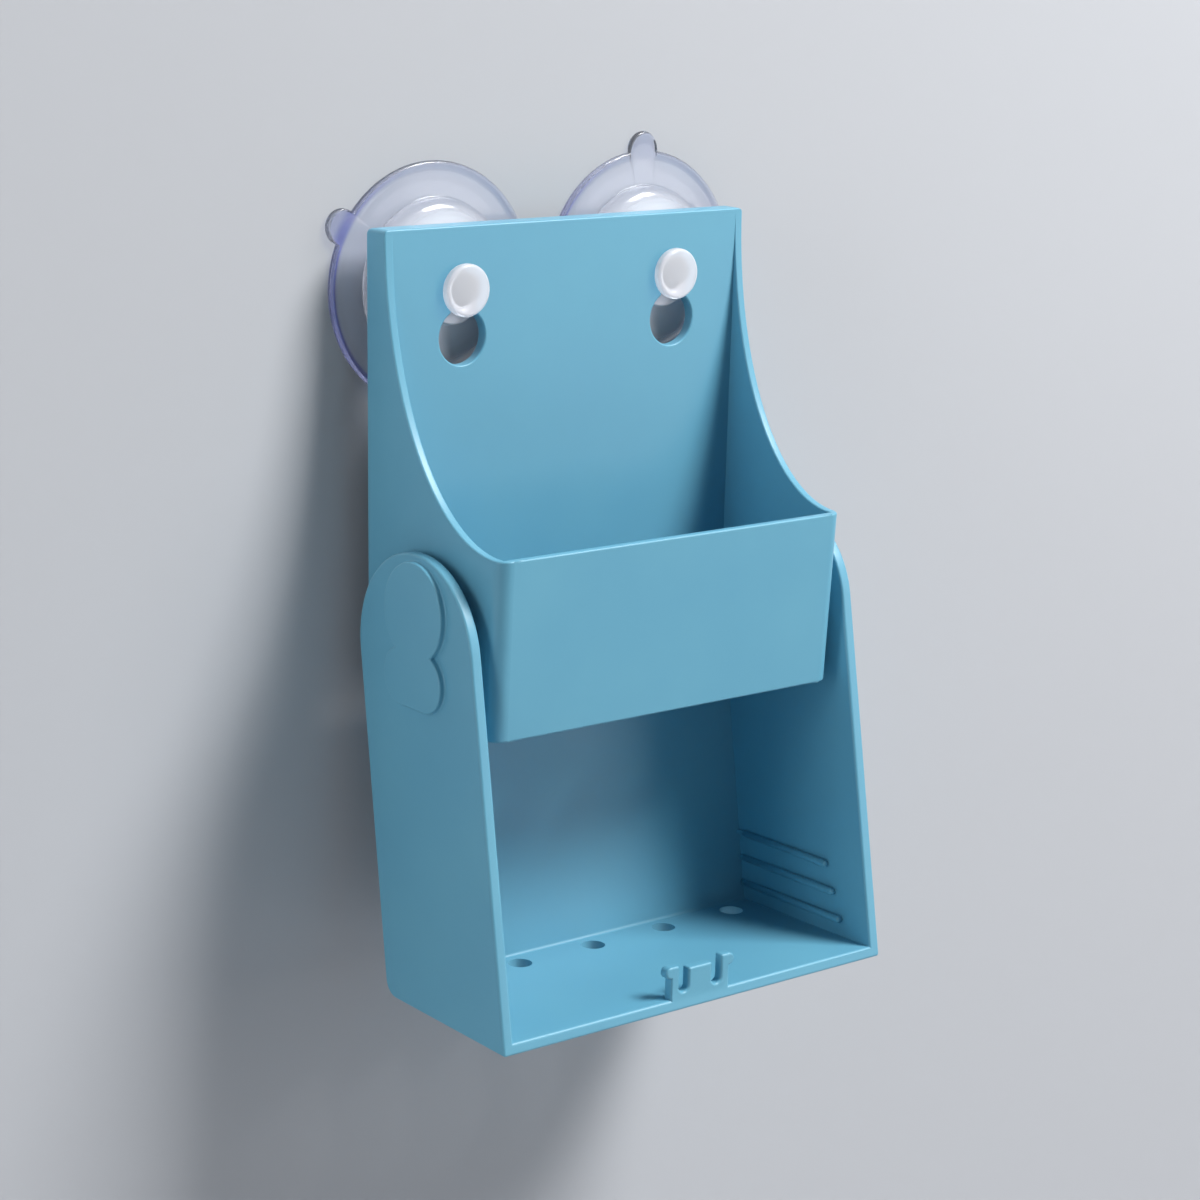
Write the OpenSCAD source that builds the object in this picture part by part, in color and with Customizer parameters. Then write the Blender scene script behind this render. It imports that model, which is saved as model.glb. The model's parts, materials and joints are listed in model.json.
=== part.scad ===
// Travel soap box for a wall: an open tray held up by two suction cups, and a
// cover that hangs open below the tray and swings up over it for travel.
// Origin: on the wall, midway between the two cups, at the height of their centres.
// X runs to the right, Y towards the wall, Z up. Millimetres.

/* [Back plate] */
// Width of the plate along its top edge
plate_w = 87.2; // [80:0.1:100]
// Height of the plate, from its top edge to the tray's underside
plate_h = 90.2; // [84:0.1:100]
// Depth of the plate at its edges, which turn back towards the wall
plate_d = 5.6; // [5:0.1:6.5]
// Thickness of the plate's panel
panel_t = 2.4; // [2:0.1:2.8]
// Thickness of the plate's turned edges
edge_t = 2.2; // [1.8:0.1:2.6]
// Space between the wall and the turned edges
wall_gap = 5.2; // [5:0.1:7]
// How far the plate's top edge lies above the cup centres
cup_drop = 12; // [10.5:0.1:14]
// Angle at which the sides draw in towards the bottom, degrees
side_draft = 0.57; // [0.3:0.01:1]
// Angle at which the sides draw in towards the front, degrees
side_toe = 2.3; // [1.8:0.1:3.5]

/* [Tray] */
// Depth from the back of the plate to the top of the front wall
tray_d = 40.3; // [38:0.1:44]
// Height of the front wall
front_h = 34.2; // [28:0.1:38]
// Angle at which the front wall leans back towards its foot, degrees
front_lean = 3.1; // [1:0.1:4]
// Thickness of the side walls and of the front wall
wall_t = 1.8; // [1.5:0.1:2.4]
// Thickness of the tray's floor
floor_t = 2; // [1.6:0.1:3]
// Radius of the upright front corners
front_r = 3; // [1.5:0.1:4]
// Number of drain holes in the tray's floor
tray_holes = 4; // [2:1:5]
// Diameter of every drain hole
drain_d = 4.8; // [3.6:0.1:5.4]

/* [Hinge] */
// Distance of the hinge axis in front of the back of the plate
hinge_in = 20.6; // [19.6:0.1:21.5]
// Height of the hinge axis above the tray's underside
hinge_up = 21.8; // [20.2:0.1:24.2]
// Radius of the stud on each side of the tray
stud_r = 5; // [4:0.1:5.5]
// Radial clearance of a stud in its seat
stud_fit = 0.06; // [0.02:0.01:0.09]
// How far a stud reaches into the arm
stud_l = 2.1; // [1.6:0.1:2.3]
// Side clearance of the bosses and of the studs' ends in the arms
stud_side_gap = 0.15; // [0.1:0.05:0.3]
// Radius of the spacing boss round each stud
boss_r = 8; // [6.5:0.1:9]
// Distance between the two seats that a stud can take in an arm
seat_travel = 8; // [7:0.1:9]
// Half width of the neck between the two seats
neck_w = 4.6; // [3.8:0.1:4.8]

/* [Cover] */
// Thickness of the arms
arm_t = 2.4; // [2:0.1:3]
// Radius of the arms' round tops
arm_r = 18.8; // [17.5:0.1:19.5]
// How far the arms' middle lies behind the hinge axis
arm_shift = 0.9; // [0:0.1:1.5]
// Room between the plate's top edge and the cover's floor when the cover is swung up
top_room = 6.6; // [6.2:0.1:9]
// Angle at which the back edge runs forward on its way down, degrees
back_lean = 8.5; // [7:0.1:10]
// Angle at which the front edge runs forward on its way down, degrees
front_edge_lean = 9.5; // [8:0.1:11]
// Angle at which the arms spread towards the front, degrees
arm_toe = 1.7; // [1.3:0.1:2.2]
// Thickness of the back wall
back_t = 2.2; // [1.8:0.1:2.8]
// Thickness of the floor
cover_floor_t = 2.2; // [1.8:0.1:2.8]
// Distance from the hinge axis down to the back wall's upper edge
back_top = 27.6; // [27:0.1:34]
// Outer radius along the bottom back edge
heel_r = 3.5; // [2:0.1:5]
// Inner radius along the bottom back edge
inner_r = 0.8; // [0.5:0.1:3]
// Distance between neighbouring drain holes in the cover's floor
drain_pitch = 18.2; // [14:0.1:19]
// Number of drain holes in the cover's floor
cover_holes = 5; // [3:1:5]
// Distance of the drain holes in front of the back wall
drain_in = 4; // [3.4:0.1:8]

/* [Pads and ribs] */
// Height of the raised pad outside each stud
pad_h = 1.2; // [0.8:0.1:1.6]
// Radius of the pad's round head
pad_r = 9.5; // [8.5:0.1:10]
// Radius of the pad's two lower corners
pad_lobe_r = 5.6; // [5:0.1:6]
// Half the distance between the centres of the lower corners
pad_lobe_x = 3.8; // [3:0.1:4.2]
// How far the centres of the lower corners lie below the hinge axis
pad_lobe_drop = 12.6; // [12:0.1:13.5]
// Height of the grip ribs inside the arms
rib_h = 0.5; // [0.3:0.05:0.7]
// Width of a grip rib
rib_w = 1; // [0.8:0.1:1.6]
// Height of the lowest grip rib's middle above the floor
rib_up = 3.6; // [2.5:0.1:4.5]
// Distance between neighbouring grip ribs
rib_pitch = 5.3; // [4:0.1:5.6]
// Number of grip ribs in each arm
ribs = 3; // [2:1:3]
// Length of the lowest grip rib
rib_l = 29; // [20:0.5:31]
// How much shorter each next rib is
rib_step = 1.5; // [0:0.1:2.5]
// Gap between the grip ribs and the plate's sides when the cover is shut
rib_gap = 0.15; // [0.1:0.05:0.3]

/* [Snap tab] */
// Width of the tab at its foot
tab_w = 14.5; // [13:0.1:15]
// Thickness of the tab
tab_t = 2.2; // [1.6:0.1:2.4]
// Height of the two outer fingers above the floor
tab_h = 6.6; // [6:0.1:7]
// Width of the middle finger
tab_mid_w = 5.8; // [4.8:0.1:6.2]
// How much lower the middle finger is
tab_mid_drop = 0.9; // [0.4:0.1:1.4]
// Width of the two slots between the fingers
tab_slot_w = 2.3; // [1.8:0.1:2.6]
// Height of the slots' round ends above the floor
tab_slot_up = 1.1; // [0.8:0.1:2]
// Radius of the snap bump outside each outer finger
bump_r = 1.2; // [0.8:0.1:1.3]

/* [Suction cups] */
// Distance from each cup's centre to the middle of the plate
cup_x = 25.5; // [25.2:0.1:27.5]
// Radius of a cup's flange
cup_r = 23.2; // [21:0.1:23.4]
// Thickness of the flange at its edge
flange_t = 0.8; // [0.6:0.1:1.1]
// Thickness of the flange where it meets the dome
flange_root_t = 1.3; // [1.2:0.1:1.6]
// Radius of the dome's foot
dome_r = 16.5; // [14:0.1:17]
// Height of the dome above the wall
dome_h = 4.8; // [4:0.1:4.9]
// Radius of the dome's round shoulder
shoulder_r = 3.2; // [2:0.1:3.5]
// Radius of the stem between the dome and the plate's panel
stem_r = 7; // [5.5:0.1:8]
// Height of the hollow under the cup
hollow_h = 0.9; // [0.5:0.1:1.2]
// Radius of the hollow under the cup
hollow_r = 19; // [17:0.1:20]
// Radius of the neck that passes through the plate
cup_neck_r = 3.2; // [2.8:0.1:3.6]
// Radial clearance of the neck in its seat
neck_fit = 0.05; // [0.02:0.01:0.09]
// Radius of the button in front of the plate
button_r = 5; // [4.5:0.1:5.4]
// Thickness of the button
button_t = 1.9; // [1.4:0.1:2.2]
// Gap on each side of the panel between stem and button
cup_gap = 0.2; // [0.1:0.05:0.3]
// Radius of the round pull tab
pull_r = 3.4; // [2.8:0.1:3.5]
// Distance from a cup's centre to the centre of its pull tab
pull_out = 23.6; // [23:0.1:23.8]
// Direction of the left cup's pull tab, degrees from +X towards +Z
pull_left = 150; // [90:1:180]
// Direction of the right cup's pull tab, degrees from +X towards +Z
pull_right = 90; // [80:1:150]

/* [Keyholes and catch] */
// Distance from a cup's seat down to its entry hole
entry_drop = 9; // [8:0.1:11]
// Clearance of the button in the entry hole
entry_gap = 0.3; // [0.2:0.05:0.5]
// How much narrower than the neck the slot between the two is, each side
slot_bite = 0.4; // [0.2:0.05:0.6]
// Height of the catch blocks along the plate
catch_h = 2.1; // [1.5:0.1:2.4]
// How far the catch blocks lie below the plate's top edge
catch_in = 1.2; // [1:0.1:2]
// Width of a catch block
catch_w = 1.5; // [1.2:0.1:1.8]
// How far the catch blocks stand behind the plate's turned edges
catch_out = 2.8; // [2:0.1:3.4]
// Clearance of the tab between the catch blocks, each side
catch_gap = 0.3; // [0.2:0.05:0.4]

/* [Hidden] */
$fn = 96;
big = 300;
eps = 0.4;
over = 1;
plastic = "#76AEC8";
plate_y = -wall_gap;
top_z = cup_drop;
rim_b = plate_h - front_h;
rim_a = tray_d - plate_d - wall_t;
recess_d = plate_d - panel_t;
rim_steps = 28;
hinge_drop = plate_h - hinge_up;
hinge_y = plate_y - hinge_in;
hinge_z = top_z - hinge_drop;
cover_drop = hinge_drop + top_room + cover_floor_t;
// Half the distance between the arms' inner faces, at the hinge axis
arm_in = plate_w / 2 + rib_h + rib_gap - hinge_in * tan(arm_toe);
arm_out = arm_in + arm_t;
boss_x = arm_in - boss_r * tan(arm_toe) - stud_side_gap;
stud_x = arm_in + stud_l;
socket_x = stud_x + stud_side_gap;
arm_mid = [arm_shift, -seat_travel];
back_dir = [-sin(back_lean), -cos(back_lean)];
edge_dir = [-sin(front_edge_lean), -cos(front_edge_lean)];
back_tan = arm_mid + arm_r * [cos(back_lean), -sin(back_lean)];
edge_tan = arm_mid + arm_r * [-cos(front_edge_lean), sin(front_edge_lean)];
heel = down_to(back_tan, back_dir, -cover_drop);
toe = down_to(edge_tan, edge_dir, -cover_drop);
floor_v = -cover_drop + cover_floor_t;
wall_in = back_tan - [back_t / cos(back_lean), 0];
inner_heel = down_to(wall_in, back_dir, floor_v);

// The point where a line from p along d reaches the height v
function down_to(p, d, v) = p + d * (v - p[1]) / d[1];

// An outline drawn in Y and Z, made w wide along X about the middle
module across(w) {
    rotate([90, 0, 90])
        linear_extrude(height = w, center = true)
            children();
}

// The waste outside a radius r in the corner p between the directions a and b
module corner_waste(p, a, b, r) {
    half = acos(a * b) / 2;
    mid = (a + b) / norm(a + b);
    centre = p + mid * r / sin(half);
    reach = r / tan(half);
    difference() {
        polygon([p - mid * eps, p + a * reach, centre, p + b * reach]);
        translate(centre) circle(r);
    }
}

// One rod along X with its middle at y and z
module rod(r, l, y, z) {
    translate([0, y, z])
        rotate([0, 90, 0])
            cylinder(h = l, r = r, center = true);
}

// The room between the tray's two sloping sides, drawn in by inset
module side_room(inset) {
    intersection() {
        half_room(inset);
        mirror([1, 0, 0]) half_room(inset);
    }
}

module half_room(inset) {
    translate([plate_w / 2 - inset, plate_y, top_z])
        rotate([0, side_draft, -side_toe])
            translate([-big, -big / 2, -big / 2])
                cube(big);
}

// Side view of the tray and its plate, from the plate's top back edge.
// The rim is a quarter of an ellipse from the plate's top to the front wall.
module holder_side() {
    foot_d = tray_d - front_h * tan(front_lean);
    rim = [for (i = [0:rim_steps]) let (t = 90 * i / rim_steps)
        [-plate_d - rim_a * (1 - cos(t)), -rim_b * sin(t)]];
    polygon(concat([[0, -plate_h], [0, 0]], rim, [[-tray_d, -rim_b], [-foot_d, -plate_h]]));
}

// Side view of the space inside the tray, open at the top
module bay_side() {
    slope = tan(front_lean);
    low = -plate_h + floor_t;
    front = tray_d - wall_t;
    polygon([
        [-plate_d, eps],
        [-plate_d, low],
        [-front + (-rim_b - low) * slope, low],
        [-front - (rim_b + eps) * slope, eps]
    ]);
}

// Side view of the recess between the plate's turned edges, open towards the wall
module recess_side() {
    translate([-recess_d, edge_t - plate_h])
        square([recess_d + eps, plate_h - 2 * edge_t]);
}

// The waste outside the radius of the right front corner, along its leaning edge
module front_corner() {
    tilt = atan(tan(side_draft) - tan(side_toe) * tan(front_lean));
    corner_x = plate_w / 2 - tray_d * tan(side_toe) - rim_b * tan(side_draft);
    translate([corner_x, plate_y - tray_d, top_z - rim_b])
        rotate([front_lean, tilt, 0])
            translate([0, 0, -front_h - over])
                linear_extrude(height = front_h + 2 * over)
                    corner_waste([0, 0], [-1, 0], [sin(side_toe), cos(side_toe)], front_r);
}

// A keyhole through the panel: the cup's seat on top and the entry hole below
module keyhole() {
    seat_r = cup_neck_r + neck_fit;
    slot_w = 2 * (cup_neck_r - slot_bite);
    rotate([90, 0, 0])
        linear_extrude(height = 2 * panel_t, center = true)
            union() {
                circle(seat_r);
                translate([0, -entry_drop]) circle(button_r + entry_gap);
                translate([-slot_w / 2, -entry_drop]) square([slot_w, entry_drop]);
            }
}

// The block behind the plate that one snap bump slips past
module catch() {
    translate([tab_w / 2 + catch_gap, plate_y - recess_d - panel_t / 2, top_z - catch_in - catch_h])
        cube([catch_w, catch_out + recess_d + panel_t / 2, catch_h]);
}

// Stud and spacing boss on the right side of the tray
module stud() {
    inside = plate_w / 2 - hinge_in * tan(side_toe) - hinge_drop * tan(side_draft) - wall_t / 2;
    translate([inside, hinge_y, hinge_z])
        rotate([0, 90, 0]) {
            cylinder(h = boss_x - inside, r = boss_r);
            cylinder(h = stud_x - inside, r = stud_r);
        }
}

module holder() {
    hole_pitch = (plate_w - 2 * wall_t) / (tray_holes + 1);
    color(plastic) {
        difference() {
            intersection() {
                side_room(0);
                translate([0, plate_y, top_z]) across(plate_w + 2 * over) holder_side();
            }
            intersection() {
                side_room(wall_t);
                translate([0, plate_y, top_z]) across(plate_w) bay_side();
            }
            intersection() {
                side_room(edge_t);
                translate([0, plate_y, top_z]) across(plate_w) recess_side();
            }
            front_corner();
            mirror([1, 0, 0]) front_corner();
            for (x = [-cup_x, cup_x])
                translate([x, plate_y - plate_d + panel_t / 2, 0]) keyhole();
            for (i = [1:tray_holes])
                translate([(i - (tray_holes + 1) / 2) * hole_pitch, hinge_y, top_z - plate_h - over])
                    cylinder(h = floor_t + 2 * over, d = drain_d);
        }
        stud();
        mirror([1, 0, 0]) stud();
        catch();
        mirror([1, 0, 0]) catch();
    }
}

// The room between two upright faces that spread towards the front, half apart at the hinge
module spread(half) {
    back = half - big * tan(arm_toe) / 4;
    front = half + big * tan(arm_toe) / 4;
    translate([0, 0, -big / 2])
        linear_extrude(height = big)
            polygon([[-back, big / 4], [back, big / 4], [front, -big / 4], [-front, -big / 4]]);
}

// Side view of an arm and of the whole cover, from the hinge axis
module cover_side() {
    difference() {
        union() {
            translate(arm_mid) circle(arm_r);
            polygon([arm_mid, back_tan, heel, toe, edge_tan]);
        }
        corner_waste(heel, -back_dir, [-1, 0], heel_r);
    }
}

// Side view of the space inside the cover, open at the front and above the back wall
module cover_bay_side() {
    upper = down_to(wall_in, back_dir, -back_top);
    difference() {
        polygon([
            inner_heel,
            upper,
            [big / 4, -back_top],
            [big / 4, big / 4],
            [-big / 2, big / 4],
            [-big / 2, floor_v]
        ]);
        corner_waste(inner_heel, -back_dir, [-1, 0], inner_r);
    }
}

// The space inside the cover, between the arms
module cover_bay() {
    intersection() {
        spread(arm_in);
        across(big) cover_bay_side();
    }
}

// Keyhole-shaped outline of a pad, from the hinge axis
module pad_side() {
    circle(pad_r);
    for (y = [-pad_lobe_x, pad_lobe_x])
        translate([y, -pad_lobe_drop]) circle(pad_lobe_r);
    translate([-pad_lobe_x, -pad_lobe_drop - pad_lobe_r])
        square([2 * pad_lobe_x, pad_lobe_drop + pad_lobe_r]);
}

// The pads on both arms
module pads() {
    difference() {
        intersection() {
            spread(arm_out + pad_h);
            across(big / 2) pad_side();
        }
        spread(arm_out - arm_t / 4);
    }
}

// Side view of the grip ribs, level bars with round front ends
module rib_side() {
    for (i = [0:ribs - 1]) {
        v = floor_v + rib_up + i * rib_pitch;
        start = down_to(wall_in, back_dir, v)[0];
        end = start - rib_l + i * rib_step;
        translate([end, v - rib_w / 2]) square([start - end + back_t / 2, rib_w]);
        translate([end, v]) circle(rib_w / 2);
    }
}

// The grip ribs inside both arms
module grip_ribs() {
    difference() {
        intersection() {
            spread(arm_in + arm_t / 4);
            across(big / 2) rib_side();
        }
        spread(arm_in - rib_h);
    }
}

// Front view of the snap tab, from the floor's inner face
module tab_front() {
    finger = (tab_w - tab_mid_w) / 2 - tab_slot_w;
    difference() {
        union() {
            translate([-tab_w / 2, -cover_floor_t / 2])
                square([tab_w, cover_floor_t / 2 + tab_h - tab_mid_drop]);
            for (s = [-1, 1]) {
                translate([s * (tab_w - finger) / 2 - finger / 2, 0]) square([finger, tab_h]);
                translate([s * (tab_w / 2), tab_h - bump_r]) circle(bump_r);
            }
        }
        for (s = [-1, 1])
            translate([s * (tab_mid_w + tab_slot_w) / 2, tab_slot_up + tab_slot_w / 2]) {
                circle(d = tab_slot_w);
                translate([-tab_slot_w / 2, 0]) square([tab_slot_w, tab_h]);
            }
    }
}

// The snap tab, flush with the foot of the front edge
module snap_tab() {
    front = down_to(edge_tan, edge_dir, floor_v)[0];
    translate([0, front + tab_t, floor_v])
        rotate([90, 0, 0])
            linear_extrude(height = tab_t)
                tab_front();
}

// The blind track inside both arms: two round seats and the neck between them
module stud_tracks() {
    rod(stud_r + stud_fit, 2 * socket_x, 0, 0);
    rod(stud_r + stud_fit, 2 * socket_x, 0, -seat_travel);
    translate([-socket_x, -neck_w, -seat_travel])
        cube([2 * socket_x, 2 * neck_w, seat_travel]);
}

module cover() {
    color(plastic)
        translate([0, hinge_y, hinge_z]) {
            difference() {
                union() {
                    difference() {
                        intersection() {
                            spread(arm_out);
                            across(big / 2) cover_side();
                        }
                        cover_bay();
                    }
                    pads();
                }
                stud_tracks();
                for (i = [0:cover_holes - 1])
                    translate([(i - (cover_holes - 1) / 2) * drain_pitch,
                            inner_heel[0] - drain_in, floor_v - cover_floor_t - over])
                        cylinder(h = cover_floor_t + 2 * over, d = drain_d);
            }
            grip_ribs();
            snap_tab();
        }
}

// Half section of a cup: radius along X, height above the wall along Y
module cup_section() {
    panel_h = wall_gap + recess_d;
    button_low = panel_h + panel_t + cup_gap;
    difference() {
        union() {
            square([dome_r - shoulder_r, dome_h]);
            square([dome_r, dome_h - shoulder_r]);
            translate([dome_r - shoulder_r, dome_h - shoulder_r]) circle(shoulder_r);
            square([stem_r, panel_h - cup_gap]);
            polygon([
                [0, 0],
                [cup_r, 0],
                [cup_r, flange_t],
                [dome_r, flange_root_t],
                [0, flange_root_t]
            ]);
            square([cup_neck_r, button_low + button_t / 2]);
            translate([0, button_low]) square([button_r, button_t]);
        }
        polygon([[-over, -over], [hollow_r, -over], [hollow_r, 0], [0, hollow_h], [-over, hollow_h]]);
        translate([-big, -big / 2]) square([big, big]);
        translate([0, -big]) square([big, big]);
    }
}

// A cup pressed on the wall, with its pull tab in the direction turn
module suction_cup(turn) {
    rotate([90, 0, 0]) {
        rotate_extrude() cup_section();
        rotate([0, 0, turn])
            translate([pull_out, 0, 0])
                difference() {
                    cylinder(h = flange_t, r = pull_r);
                    translate([-pull_out, 0, -over]) cylinder(h = flange_t + 2 * over, r = cup_r - eps);
                }
    }
}

module left_suction_cup() {
    color("#D5DCEA", 0.5)
        translate([-cup_x, 0, 0]) suction_cup(pull_left);
}

module right_suction_cup() {
    color("#D5DCEA", 0.5)
        translate([cup_x, 0, 0]) suction_cup(pull_right);
}

holder();
cover();
left_suction_cup();
right_suction_cup();
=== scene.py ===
"""Looks of the travel soap box, in metres, in the frame of its CAD model."""
import json
import math

import bmesh
import bpy
import numpy as np
from mathutils import Matrix, Vector


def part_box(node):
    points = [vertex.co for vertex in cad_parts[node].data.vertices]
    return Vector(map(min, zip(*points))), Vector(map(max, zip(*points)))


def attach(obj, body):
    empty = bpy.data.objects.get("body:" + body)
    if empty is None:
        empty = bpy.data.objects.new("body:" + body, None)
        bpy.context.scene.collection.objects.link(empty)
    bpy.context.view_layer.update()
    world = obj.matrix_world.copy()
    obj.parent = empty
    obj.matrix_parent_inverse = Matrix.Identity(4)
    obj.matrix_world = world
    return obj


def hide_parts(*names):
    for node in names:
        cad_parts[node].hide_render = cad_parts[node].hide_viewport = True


MM = 0.001
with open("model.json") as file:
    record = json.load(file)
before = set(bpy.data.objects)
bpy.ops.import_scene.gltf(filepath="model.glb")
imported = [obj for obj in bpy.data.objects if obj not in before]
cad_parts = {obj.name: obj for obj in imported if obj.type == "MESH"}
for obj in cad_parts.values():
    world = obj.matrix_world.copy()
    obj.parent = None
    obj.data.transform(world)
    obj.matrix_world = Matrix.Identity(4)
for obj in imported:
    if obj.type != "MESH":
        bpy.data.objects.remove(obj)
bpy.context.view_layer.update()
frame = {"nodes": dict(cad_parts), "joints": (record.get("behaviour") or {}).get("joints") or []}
joints = {joint["name"]: joint for joint in frame["joints"]}
cup_centres = {
    "left_suction_cup": Vector(joints["left_cup_turn"]["pos_m"]),
    "right_suction_cup": Vector(joints["right_cup_turn"]["pos_m"]),
}

# Camera: where it stands, how it is turned, and its lens on a 36 mm sensor
CAMERA_AT = Vector((-0.3570, -0.4671, 0.0743))
CAMERA_TURN = math.radians(-38.73)
CAMERA_TILT = math.radians(-13.32)
CAMERA_ROLL = math.radians(1.24)
CAMERA_LENS = 90.67


def camera():
    """The photograph's view: turned about Z, tilted about its own X, rolled about its own Z."""
    data = bpy.data.cameras.new("camera")
    data.lens = CAMERA_LENS
    data.sensor_width = 36
    data.clip_start = 0.01
    data.clip_end = 20
    obj = bpy.data.objects.new("camera", data)
    bpy.context.collection.objects.link(obj)
    obj.matrix_world = (
        Matrix.Translation(CAMERA_AT)
        @ Matrix.Rotation(CAMERA_TURN, 4, "Z")
        @ Matrix.Rotation(math.radians(90) + CAMERA_TILT, 4, "X")
        @ Matrix.Rotation(CAMERA_ROLL, 4, "Z")
    )
    bpy.context.scene.camera = obj


def linear(code):
    """An sRGB hex colour as linear RGBA."""
    srgb = np.array([int(code[i : i + 2], 16) for i in (1, 3, 5)]) / 255
    rgb = np.where(srgb <= 0.04045, srgb / 12.92, ((srgb + 0.055) / 1.055) ** 2.4)
    return (*rgb.tolist(), 1.0)


def node(tree, kind, settings=None, inputs=None):
    """Adds a node, sets its settings, and sets or links its inputs by name or number."""
    made = tree.nodes.new(kind)
    for name, value in (settings or {}).items():
        setattr(made, name, value)
    for name, value in (inputs or {}).items():
        if isinstance(value, bpy.types.NodeSocket):
            tree.links.new(value, made.inputs[name])
        else:
            made.inputs[name].default_value = value
    return made


def material(name):
    """A new material with an empty node tree and its output node."""
    made = bpy.data.materials.new(name)
    made.use_nodes = True
    made.node_tree.nodes.clear()
    return made, made.node_tree, made.node_tree.nodes.new("ShaderNodeOutputMaterial")


def ramp(tree, factor, stops):
    """A colour ramp through (position, colour) stops."""
    made = node(tree, "ShaderNodeValToRGB", inputs={"Fac": factor})
    elements = made.color_ramp.elements
    while len(elements) < len(stops):
        elements.new(0.5)
    for element, (position, colour) in zip(elements, stops):
        element.position = position
        element.color = colour
    return made.outputs["Color"]


# Polypropylene, injection moulded in a finely eroded steel mould: a satin skin with a soft wide
# highlight, faint flow marks in colour and sheen, and a grain of about 0.3 mm, drawn a little
# coarser than it is so that it shows
PLASTIC = "#67A8C1"
PLASTIC_LIGHT = "#69AAC2"
PLASTIC_DARK = "#65A6C0"
# Roughness where the flow marks are faint and where they are strong
PLASTIC_ROUGHNESS = (0.34, 0.4)
# Noise scales per metre: flow marks of about 22 mm, shallow waves of 14 mm and a grain of 0.3 mm
FLOW_SCALE = 45
WAVE_SCALE = 70
GRAIN_SCALE = 3600


def polypropylene():
    """The plastic of the holder and the cover."""
    made, tree, out = material("moulded_polypropylene")
    place = node(tree, "ShaderNodeTexCoord").outputs["Object"]
    flow = node(
        tree,
        "ShaderNodeTexNoise",
        inputs={"Vector": place, "Scale": FLOW_SCALE, "Detail": 3, "Roughness": 0.55},
    ).outputs["Fac"]
    stops = [(0.3, linear(PLASTIC_DARK)), (0.5, linear(PLASTIC)), (0.7, linear(PLASTIC_LIGHT))]
    colour = ramp(tree, flow, stops)
    grain = node(
        tree,
        "ShaderNodeTexNoise",
        inputs={"Vector": place, "Scale": GRAIN_SCALE, "Detail": 2, "Roughness": 0.6},
    ).outputs["Fac"]
    wave = node(
        tree, "ShaderNodeTexNoise", inputs={"Vector": place, "Scale": WAVE_SCALE, "Detail": 1}
    ).outputs["Fac"]
    rough = node(
        tree,
        "ShaderNodeMapRange",
        inputs={
            "Value": flow,
            "From Min": 0.3,
            "From Max": 0.7,
            "To Min": PLASTIC_ROUGHNESS[0],
            "To Max": PLASTIC_ROUGHNESS[1],
        },
    ).outputs["Result"]
    bump_wave = node(tree, "ShaderNodeBump", inputs={"Height": wave, "Strength": 0.04, "Distance": 1 * MM})
    bump = node(
        tree,
        "ShaderNodeBump",
        inputs={
            "Height": grain,
            "Strength": 0.08,
            "Distance": 0.08 * MM,
            "Normal": bump_wave.outputs["Normal"],
        },
    )
    shader = node(
        tree,
        "ShaderNodeBsdfPrincipled",
        inputs={
            "Base Color": colour,
            "Roughness": rough,
            "IOR": 1.49,
            "Specular IOR Level": 0.42,
            "Normal": bump.outputs["Normal"],
        },
    )
    tree.links.new(shader.outputs["BSDF"], out.inputs["Surface"])
    return made


# Soft clear PVC, moulded and polished: a clear flange whose faint own tint is painted as a violet glow on the
# rim on the side away from the key lamp, where light that ran along inside the flange would leave it, and
# milky where the thick dome scatters it
RIM_GLOW_VIOLET = "#8086E2"
# The direction, along the wall and away from the key lamp, in which the painted violet glow on the rim is
# strongest
GLOW_SIDE = (-1.0, 0.0, -0.25)
# How milky the vinyl is at each share, and less so at the button, this far from the wall
DOME_MILK = ((0.3, 0.85), (0.5, 0.6), (0.68, 0.03))
BUTTON_Y = -9 * MM
DOME_Y = -6 * MM


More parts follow.
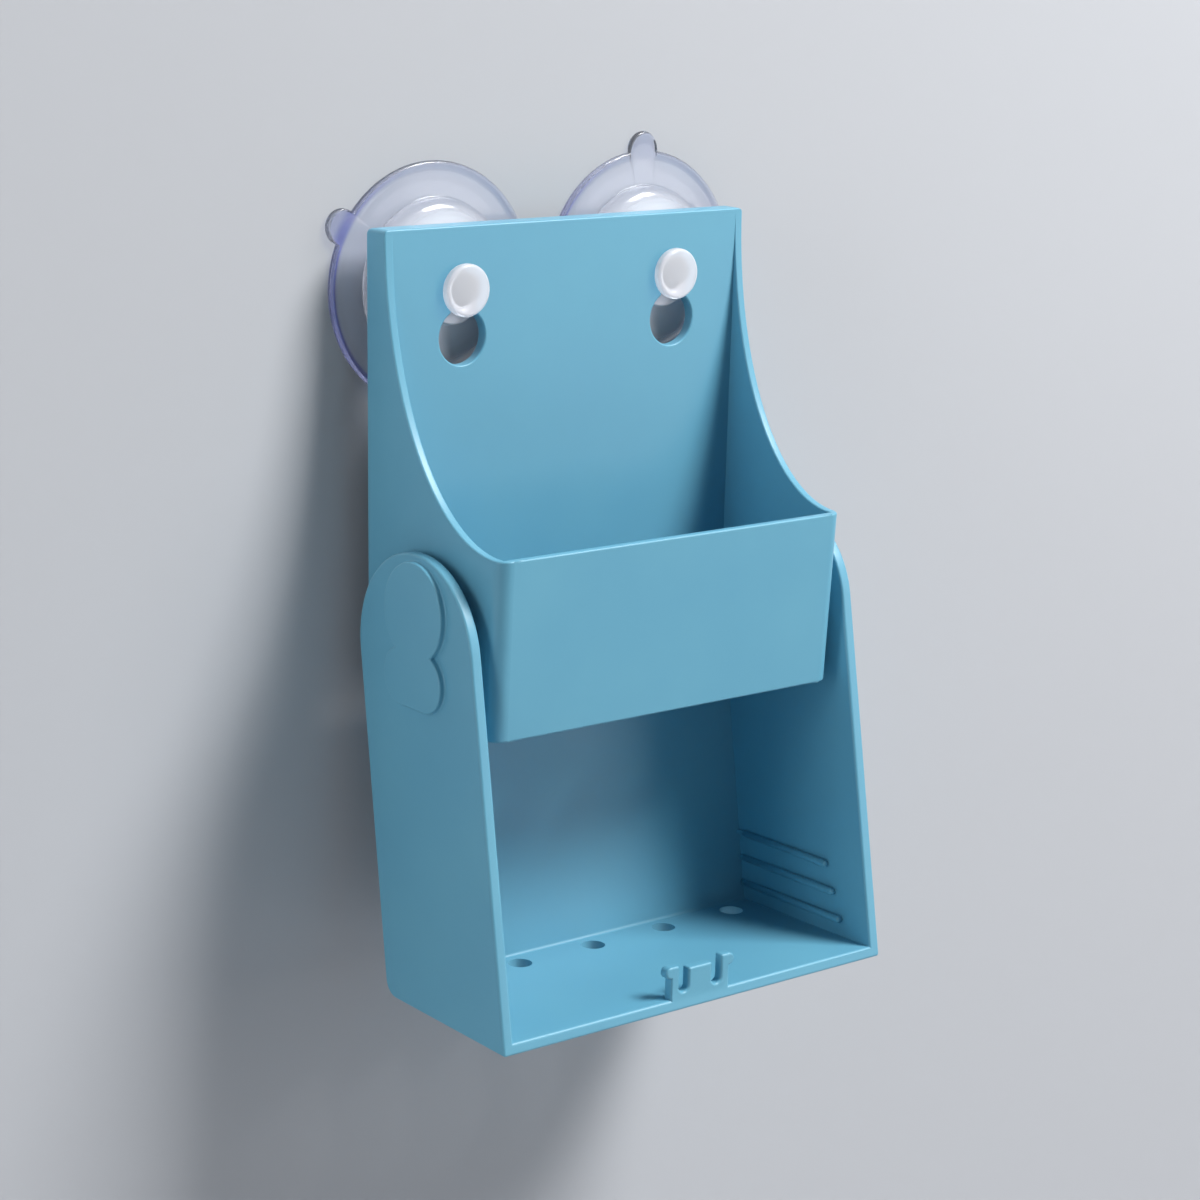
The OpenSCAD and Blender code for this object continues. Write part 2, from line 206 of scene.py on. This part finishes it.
def clear_vinyl(name, centre, radius):
    """The vinyl of the cup with this centre. Its colours go by share, the distance from the cup's
    axis over the flange's radius, and its rim has a painted violet glow on the side away from the key lamp."""
    made, tree, out = material(name)
    coordinates = node(tree, "ShaderNodeTexCoord")
    centred = node(
        tree,
        "ShaderNodeVectorMath",
        {"operation": "SUBTRACT"},
        {0: coordinates.outputs["Object"], 1: (centre.x, 0, centre.z)},
    ).outputs["Vector"]
    flat = node(
        tree, "ShaderNodeVectorMath", {"operation": "MULTIPLY"}, {0: centred, 1: (1, 0, 1)}
    ).outputs["Vector"]
    reach = node(tree, "ShaderNodeVectorMath", {"operation": "LENGTH"}, {0: flat}).outputs["Value"]
    share = node(tree, "ShaderNodeMath", {"operation": "DIVIDE"}, {0: reach, 1: radius}).outputs["Value"]
    glow_side = node(
        tree,
        "ShaderNodeVectorMath",
        {"operation": "DOT_PRODUCT"},
        {0: flat, 1: [v / radius for v in GLOW_SIDE]},
    ).outputs["Value"]
    # Painted glow: the rim is tinted violet on the side away from the key lamp, and more weakly on the pull
    # tab
    rim = ramp(tree, share, [(0.93, (0, 0, 0, 1)), (0.95, (1, 1, 1, 1))])
    rim_glow = node(
        tree, "ShaderNodeMath", {"operation": "MULTIPLY", "use_clamp": True}, {0: rim, 1: glow_side}
    ).outputs["Value"]
    off_tab = node(
        tree,
        "ShaderNodeMapRange",
        inputs={"Value": share, "From Min": 1.0, "From Max": 1.06, "To Min": 1.0, "To Max": 0.25},
    ).outputs["Result"]
    rim_glow = node(
        tree, "ShaderNodeMath", {"operation": "MULTIPLY"}, {0: rim_glow, 1: off_tab}
    ).outputs["Value"]
    body = ramp(tree, share, [(0.0, linear("#F8F8FB")), (0.9, linear("#F1F3F9")), (0.96, linear("#E0E4F1"))])
    colour = node(
        tree, "ShaderNodeMix", {"data_type": "RGBA"}, {"Factor": rim_glow, 6: body, 7: linear(RIM_GLOW_VIOLET)}
    ).outputs[2]
    milk_stops = [(position, (amount, amount, amount, 1)) for position, amount in DOME_MILK]
    dome = ramp(tree, share, milk_stops)
    depth = node(tree, "ShaderNodeSeparateXYZ", inputs={"Vector": coordinates.outputs["Object"]}).outputs["Y"]
    near_wall = node(
        tree,
        "ShaderNodeMapRange",
        inputs={"Value": depth, "From Min": BUTTON_Y, "From Max": DOME_Y, "To Min": 0.6, "To Max": 1.0},
    ).outputs["Result"]
    milk = node(tree, "ShaderNodeMath", {"operation": "MULTIPLY"}, {0: dome, 1: near_wall}).outputs["Value"]
    clear = node(
        tree,
        "ShaderNodeBsdfPrincipled",
        inputs={"Base Color": colour, "Roughness": 0.14, "IOR": 1.45, "Transmission Weight": 1.0},
    )
    milky = node(
        tree,
        "ShaderNodeBsdfPrincipled",
        inputs={"Base Color": linear("#F4F4F8"), "Roughness": 0.5, "IOR": 1.45},
    )
    solid = node(
        tree, "ShaderNodeMixShader", inputs={0: milk, 1: clear.outputs["BSDF"], 2: milky.outputs["BSDF"]}
    )
    # Lets light through to the wall behind it
    passing = node(tree, "ShaderNodeBsdfTransparent", inputs={"Color": linear("#F4F5FA")})
    path = node(tree, "ShaderNodeLightPath")
    unseen = node(
        tree,
        "ShaderNodeMath",
        {"operation": "MAXIMUM"},
        {0: path.outputs["Is Shadow Ray"], 1: path.outputs["Is Diffuse Ray"]},
    ).outputs["Value"]
    mix = node(
        tree,
        "ShaderNodeMixShader",
        inputs={0: unseen, 1: solid.outputs["Shader"], 2: passing.outputs["BSDF"]},
    )
    tree.links.new(mix.outputs["Shader"], out.inputs["Surface"])
    return made


def new_object(name, verts, faces):
    """A mesh object at the origin from arrays of corners and quads."""
    mesh = bpy.data.meshes.new(name)
    mesh.from_pydata(verts.tolist(), [], faces.tolist())
    mesh.update()
    obj = bpy.data.objects.new(name, mesh)
    bpy.context.collection.objects.link(obj)
    return obj


# Corners closer than this are one, on new surfaces and on the CAD's loose triangles
SEAM_GAP = 0.001 * MM
TRIANGLE_GAP = 0.002 * MM


def closed_surface(name, verts, faces, finish):
    """A new object with its seams and poles merged, its open end filled, its faces pointing outwards,
    and smooth shading."""
    obj = new_object(name, verts, faces)
    work = bmesh.new()
    work.from_mesh(obj.data)
    bmesh.ops.remove_doubles(work, verts=work.verts, dist=SEAM_GAP)
    bmesh.ops.holes_fill(work, edges=work.edges)
    bmesh.ops.recalc_face_normals(work, faces=work.faces)
    work.to_mesh(obj.data)
    work.free()
    obj.data.materials.append(finish)
    obj.data.shade_smooth()
    return obj


def grid_faces(rows, cols):
    """Quads of a grid of rows by cols corners whose columns close into a ring."""
    r, c = np.meshgrid(np.arange(rows - 1), np.arange(cols), indexing="ij")
    n = (c + 1) % cols
    return np.stack([r * cols + c, r * cols + n, (r + 1) * cols + n, (r + 1) * cols + c], -1).reshape(-1, 4)


# Triangles that meet at less than this belong to one flat face of the mould
SAME_PLANE = math.radians(0.6)
# Edges that turn by more than this are rounded
SHARP = math.radians(28)
# Faces that turn by less than this are shaded as one
CREASE = math.radians(40)
# Radii of the edges, which take no more than this share of the smaller face beside them
HOLDER_ROUND = 0.4 * MM
COVER_ROUND = 0.55 * MM
ROUND_SHARE = 0.3
# The plate's top corners, this far to the left and right
TOP_CORNER_ROUND = 1.2 * MM
PLATE_HALF = 43.6 * MM
# The side walls' inner faces lie within this, and their rims rise from the plate's front face
BAY_HALF = 42.4 * MM
PLATE_FRONT = -10.8 * MM
RISE_SHARE = 0.35
# Inner corners of wider faces stay sharp. The flat grip ribs have faces this narrow
FOOT_WIDTH = 1.3 * MM
RIB_SIDE = 0.55 * MM
RIB_ROUND = 0.3 * MM
RIB_FOOT = 0.06 * MM


def patches(work):
    """Groups the faces that meet at less than the sharp angle, and gives each face its group's
    size, twice its area over the length of its outline. The wall of a hole, whose normals point all
    round, gets 0 and keeps its edges."""
    size = {}
    for first in work.faces:
        if first in size:
            continue
        group, todo = {first}, [first]
        while todo:
            face = todo.pop()
            for edge in face.edges:
                if len(edge.link_faces) == 2 and edge.calc_face_angle() < SHARP:
                    for other in edge.link_faces:
                        if other not in group:
                            group.add(other)
                            todo.append(other)
        outline = sum(e.calc_length() for f in group for e in f.edges if not set(e.link_faces) <= group)
        area = sum(f.calc_area() for f in group)
        least = 2 * area / max(outline, 1e-9)
        if sum((f.normal * f.calc_area() for f in group), Vector()).length < 0.05 * area:
            least = 0
        size.update(dict.fromkeys(group, least))
    return size


def even_normals(mesh):
    """Gives each corner of a face the mean normal, by area, of the faces round that corner that lie
    within the crease angle of its own face, so that flat faces stay flat next to rounded edges."""
    work = bmesh.new()
    work.from_mesh(mesh)
    work.normal_update()
    area = {face: face.calc_area() for face in work.faces}
    normals = []
    for face in work.faces:
        for vert in face.verts:
            near = [f for f in vert.link_faces if f.normal.dot(face.normal) > math.cos(CREASE)]
            mean = sum((f.normal * area[f] for f in near), Vector())
            normals.append(mean.normalized() if mean.length > 0 else face.normal.copy())
    work.free()
    mesh.normals_split_custom_set(normals)


def moulded(node_name, body, finish, rounding, corner=None):
    """A copy of a CAD node with its triangles merged and its edges rounded as a mould leaves them.
    Edges at a corner (x, z) given as corner get the top corners' larger radius, and where the side
    walls' rims rise out of the plate, their inner rounds grow with them."""
    obj = frame["nodes"][node_name].copy()
    obj.data = obj.data.copy()
    obj.parent = None
    obj.name = node_name + "_moulding"
    for key in list(obj.keys()):
        del obj[key]
    bpy.context.collection.objects.link(obj)
    work = bmesh.new()
    work.from_mesh(obj.data)
    bmesh.ops.remove_doubles(work, verts=work.verts, dist=TRIANGLE_GAP)
    bmesh.ops.dissolve_limit(
        work, angle_limit=SAME_PLANE, verts=work.verts, edges=work.edges, delimit={"NORMAL"}
    )
    weights = work.edges.layers.float.new("bevel_weight_edge")
    size = patches(work)
    for edge in work.edges:
        if len(edge.link_faces) == 2 and edge.calc_face_angle() > SHARP:
            least = min(size[face] for face in edge.link_faces)
            radius = min(rounding, ROUND_SHARE * least)
            if node_name == "cover" and least < RIB_SIDE:
                radius = RIB_ROUND if edge.is_convex else RIB_FOOT
            if least == 0 or (not edge.is_convex and least > FOOT_WIDTH):
                radius = 0
            if corner and all(
                abs(abs(v.co.x) - corner[0]) < 1 * MM and abs(v.co.z - corner[1]) < 0.05 * MM
                for v in edge.verts
            ):
                radius = TOP_CORNER_ROUND
            if corner and all(abs(v.co.x) < BAY_HALF for v in edge.verts):
                low, high = sorted(v.co.z for v in edge.verts)
                rise = PLATE_FRONT - max(v.co.y for v in edge.verts)
                if high - low > 1 * MM and rise > -0.01 * MM:
                    radius = min(radius, RISE_SHARE * max(rise, 0))
            edge[weights] = radius / TOP_CORNER_ROUND
    for face in work.faces:
        face.smooth = True
    work.to_mesh(obj.data)
    obj.data.attributes.remove(obj.data.attributes["custom_normal"])
    work.free()
    obj.data.materials.clear()
    obj.data.materials.append(finish)
    bevel = obj.modifiers.new("rounds", "BEVEL")
    bevel.width = TOP_CORNER_ROUND
    bevel.segments = 4
    bevel.limit_method = "WEIGHT"
    bevel.use_clamp_overlap = False
    rounded = bpy.data.meshes.new_from_object(obj.evaluated_get(bpy.context.evaluated_depsgraph_get()))
    obj.modifiers.remove(bevel)
    obj.data = rounded
    even_normals(rounded)
    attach(obj, body)
    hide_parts(node_name)
    return obj


# Half-round grip ribs inside the arms: their crests, ends and middles lie on the CAD's flat ribs
RIB_CREST = 42.87 * MM
RIB_BACK = -17.52 * MM
RIB_ENDS = ((-46.59 * MM, -127.80 * MM), (-44.30 * MM, -122.50 * MM), (-42.01 * MM, -117.20 * MM))
# How far the crests stand proud of the flat ribs, and a rib's half height and half width
RIB_LIFT = 0.06 * MM
RIB_HALF = (0.62 * MM, 0.75 * MM)


def rib(name, side, end, middle, finish):
    """A bar of elliptic section, half sunk into the arm, from the back wall to a domed front end. At
    angle t round it and u over the end: x = centre - side h cos t cos u, y = end - w sin u and
    z = middle + w sin t cos u."""
    h, w = RIB_HALF
    t = np.radians(np.arange(0, 360, 15))
    u = np.radians(np.concatenate([[0], np.arange(0, 91, 10)]))[:, None]
    start = np.where(np.arange(len(u)) == 0, RIB_BACK, end)[:, None]
    x = side * (RIB_CREST - RIB_LIFT + h) - side * h * np.cos(t) * np.cos(u)
    y = start - w * np.sin(u) + 0 * t
    z = middle + w * np.sin(t) * np.cos(u)
    verts = np.stack([x, y, z], -1).reshape(-1, 3)
    obj = closed_surface(name, verts, grid_faces(len(u), len(t)), finish)
    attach(obj, "cover")


# A cup's section: its flange's thickness near the rim and at the dome, the bead's radius, the
# hollow's radius and depth, the dome's radius, height and shoulder radius, the stem and its height,
# the neck, and the button's radius and thickness
FLANGE_T = 0.8 * MM
FLANGE_ROOT_T = 1.3 * MM
BEAD_R = 0.65 * MM
HOLLOW = (19 * MM, 0.9 * MM)
DOME = (16.5 * MM, 4.8 * MM, 3.2 * MM)
STEM_R = 7 * MM
STEM_TOP = 8.2 * MM
NECK_R = 3.2 * MM
BUTTON = (5 * MM, 1.9 * MM)
# The pull tab's end is a circle at this distance from the axis, with this radius
PULL = (23.6 * MM, 3.4 * MM)
# Half the angle, in degrees, over which the outline is stepped finely for the pull tab
PULL_SPREAD = 11


def arc(centre, radius, start, end, count):
    """Points on an arc about centre, from start to end in degrees."""
    t = np.radians(np.linspace(start, end, count))
    return np.stack([centre[0] + radius * np.cos(t), centre[1] + radius * np.sin(t)], 1)


def cup(node_name, body, turn, finish):
    """A cup turned about its axis: its section (r, h) goes round as (r cos a, -h, r sin a). Outside the
    dome, r is stretched to the outline, the larger of the flange's circle and the pull tab's circle."""
    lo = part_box(node_name)[0]
    centre = cup_centres[node_name]
    cup_r = centre.z - lo.z
    top = -lo.y
    dome_r, dome_h, shoulder = DOME
    button_r, button_t = BUTTON
    section = np.concatenate(
        [
            [[0, HOLLOW[1]], [HOLLOW[0] * 0.5, HOLLOW[1] * 0.5], [HOLLOW[0], 0.0]],
            arc((cup_r - BEAD_R, 0.45 * MM), BEAD_R, -43, 148, 16),
            [[cup_r - 2.2 * MM, FLANGE_T + 0.05 * MM], [dome_r + 0.5 * MM, FLANGE_ROOT_T]],
            arc((dome_r + 0.3 * MM, FLANGE_ROOT_T + 0.5 * MM), 0.5 * MM, 270, 200, 4),
            arc((dome_r - shoulder, dome_h - shoulder), shoulder, 8, 86, 14),
            arc((STEM_R + 0.8 * MM, dome_h + 0.8 * MM), 0.8 * MM, 270, 180, 5),
            arc((STEM_R - 0.5 * MM, STEM_TOP - 0.5 * MM), 0.5 * MM, 0, 90, 4),
            [[NECK_R, STEM_TOP], [NECK_R, top - button_t]],
            arc((button_r - 0.5 * MM, top - button_t + 0.5 * MM), 0.5 * MM, -90, 0, 4),
            arc((button_r - 0.7 * MM, top - 0.7 * MM), 0.7 * MM, 0, 90, 5),
            [[0, top]],
        ]
    )
    fine = np.linspace(-PULL_SPREAD, PULL_SPREAD, 67)
    coarse = np.linspace(PULL_SPREAD, 360 - PULL_SPREAD, 240)[1:-1]
    off = np.radians(np.concatenate([fine, coarse]))
    count = len(off)
    a = off + math.radians(turn)
    inside = np.clip(PULL[1] ** 2 - (PULL[0] * np.sin(off)) ** 2, 0, None)
    tab = np.where((inside > 0) & (np.cos(off) > 0), PULL[0] * np.cos(off) + np.sqrt(inside), 0)
    rim = np.maximum(cup_r, tab)
    r, h = section[:, :1], section[:, 1:]
    pull = np.clip((r - dome_r - 1 * MM) / (cup_r - 2.2 * MM - dome_r), 0, 1)
    reach = r + pull * (rim[None, :] - cup_r)
    verts = np.stack(
        [centre.x + reach * np.cos(a), -(h + 0 * reach), centre.z + reach * np.sin(a)], -1
    ).reshape(-1, 3)
    obj = closed_surface(node_name + "_body", verts, grid_faces(len(section), count), finish)
    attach(obj, body)
    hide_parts(node_name)
    return obj


# The wall stands this far behind the cups, and how far the stage reaches
WALL_Y = 0.1 * MM
STAGE_WIDE, STAGE_HIGH, STAGE_LOW = 2.5, 2.0, -0.6


def plane(name, corners, finish):
    """A flat piece of the stage from its four corners."""
    obj = new_object(name, np.array(corners, float), np.array([[0, 1, 2, 3]]))
    obj.data.materials.append(finish)
    return obj


def backdrop_material(name, colour):
    """Matt paint. Its back is clear, and the light behind it passes for what is seen directly, so that
    the object also shows from behind. Light that has left a surface once finds it closed."""
    made, tree, out = material(name)
    paint = node(tree, "ShaderNodeBsdfDiffuse", inputs={"Color": linear(colour)})
    clear = node(tree, "ShaderNodeBsdfTransparent")
    back = node(tree, "ShaderNodeNewGeometry").outputs["Backfacing"]
    path = node(tree, "ShaderNodeLightPath")
    first = node(
        tree, "ShaderNodeMath", {"operation": "LESS_THAN"}, {0: path.outputs["Diffuse Depth"], 1: 0.5}
    ).outputs["Value"]
    passing = node(
        tree, "ShaderNodeMath", {"operation": "MULTIPLY"}, {0: path.outputs["Is Shadow Ray"], 1: first}
    ).outputs["Value"]
    either = node(tree, "ShaderNodeMath", {"operation": "MAXIMUM"}, {0: back, 1: passing}).outputs["Value"]
    mix = node(
        tree, "ShaderNodeMixShader", inputs={0: either, 1: paint.outputs["BSDF"], 2: clear.outputs["BSDF"]}
    )
    tree.links.new(mix.outputs["Shader"], out.inputs["Surface"])
    return made


def stage():
    """The pale wall and floor."""
    wide, high, low = STAGE_WIDE, STAGE_HIGH, STAGE_LOW
    wall = backdrop_material("wall_paint", "#C2C4C8")
    floor = backdrop_material("floor_paint", "#CFD1D6")
    upright = [(-wide, WALL_Y, low), (wide, WALL_Y, low), (wide, WALL_Y, high), (-wide, WALL_Y, high)]
    level = [(-wide, -wide, low), (wide, -wide, low), (wide, wide, low), (-wide, wide, low)]
    plane("wall", upright, wall)
    plane("floor", level, floor)


LAMP_TARGET = Vector((0, -0.03, -0.06))


def lamp(name, at, size, power, colour="#FFFFFF"):
    """A rectangular lamp, wide by high, aimed at the object's middle."""
    data = bpy.data.lights.new(name, "AREA")
    data.shape = "RECTANGLE"
    data.size, data.size_y = size
    data.energy = power
    data.color = linear(colour)[:3]
    obj = bpy.data.objects.new(name, data)
    bpy.context.collection.objects.link(obj)
    obj.location = at
    obj.rotation_euler = (LAMP_TARGET - Vector(at)).to_track_quat("-Z", "Y").to_euler()


def lights():
    """A key from the upper right, a strip low in front, a weak lamp from the left, one behind the wall
    for views from behind, and a world that lights weakly but is seen pale."""
    lamp("key", (0.58, -0.65, 0.9), (0.5, 0.5), 23.5)
    lamp("strip", (0.7, -0.86, 0.02), (0.35, 0.6), 1.5)
    lamp("left", (-1.15, -0.2, 0.1), (0.3, 0.7), 3.6, "#F2FAFF")
    lamp("back", (0.2, 1.1, 0.3), (1.0, 1.0), 9)
    world = bpy.data.worlds.new("world")
    bpy.context.scene.world = world
    world.use_nodes = True
    tree = world.node_tree
    tree.nodes.clear()
    out = node(tree, "ShaderNodeOutputWorld")
    path = node(tree, "ShaderNodeLightPath")
    seen = node(
        tree,
        "ShaderNodeMath",
        {"operation": "MAXIMUM"},
        {0: path.outputs["Is Camera Ray"], 1: path.outputs["Is Transmission Ray"]},
    ).outputs["Value"]
    seen = node(
        tree, "ShaderNodeMath", {"operation": "MAXIMUM"}, {0: seen, 1: path.outputs["Is Glossy Ray"]}
    ).outputs["Value"]
    light = node(tree, "ShaderNodeBackground", inputs={"Color": linear("#ECEEF2"), "Strength": 0.11})
    pale = node(tree, "ShaderNodeBackground", inputs={"Color": linear("#D6D9DE"), "Strength": 1.0})
    mix = node(
        tree,
        "ShaderNodeMixShader",
        inputs={0: seen, 1: light.outputs["Background"], 2: pale.outputs["Background"]},
    )
    tree.links.new(mix.outputs["Shader"], out.inputs["Surface"])


bpy.context.scene.view_settings.view_transform = "Standard"
camera()
plastic = polypropylene()
plate_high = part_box("holder")[1]
moulded("holder", "holder", plastic, HOLDER_ROUND, (PLATE_HALF, plate_high.z))
moulded("cover", "cover", plastic, COVER_ROUND)
for side in (-1, 1):
    for end, middle in RIB_ENDS:
        rib("grip_rib", side, end, middle, plastic)
for name, body, turn in (("left_suction_cup", "left_cup", 150), ("right_suction_cup", "right_cup", 90)):
    centre = cup_centres[name]
    radius = centre.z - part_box(name)[0].z
    cup(name, body, turn, clear_vinyl("clear_vinyl_" + body, centre, radius))
stage()
lights()
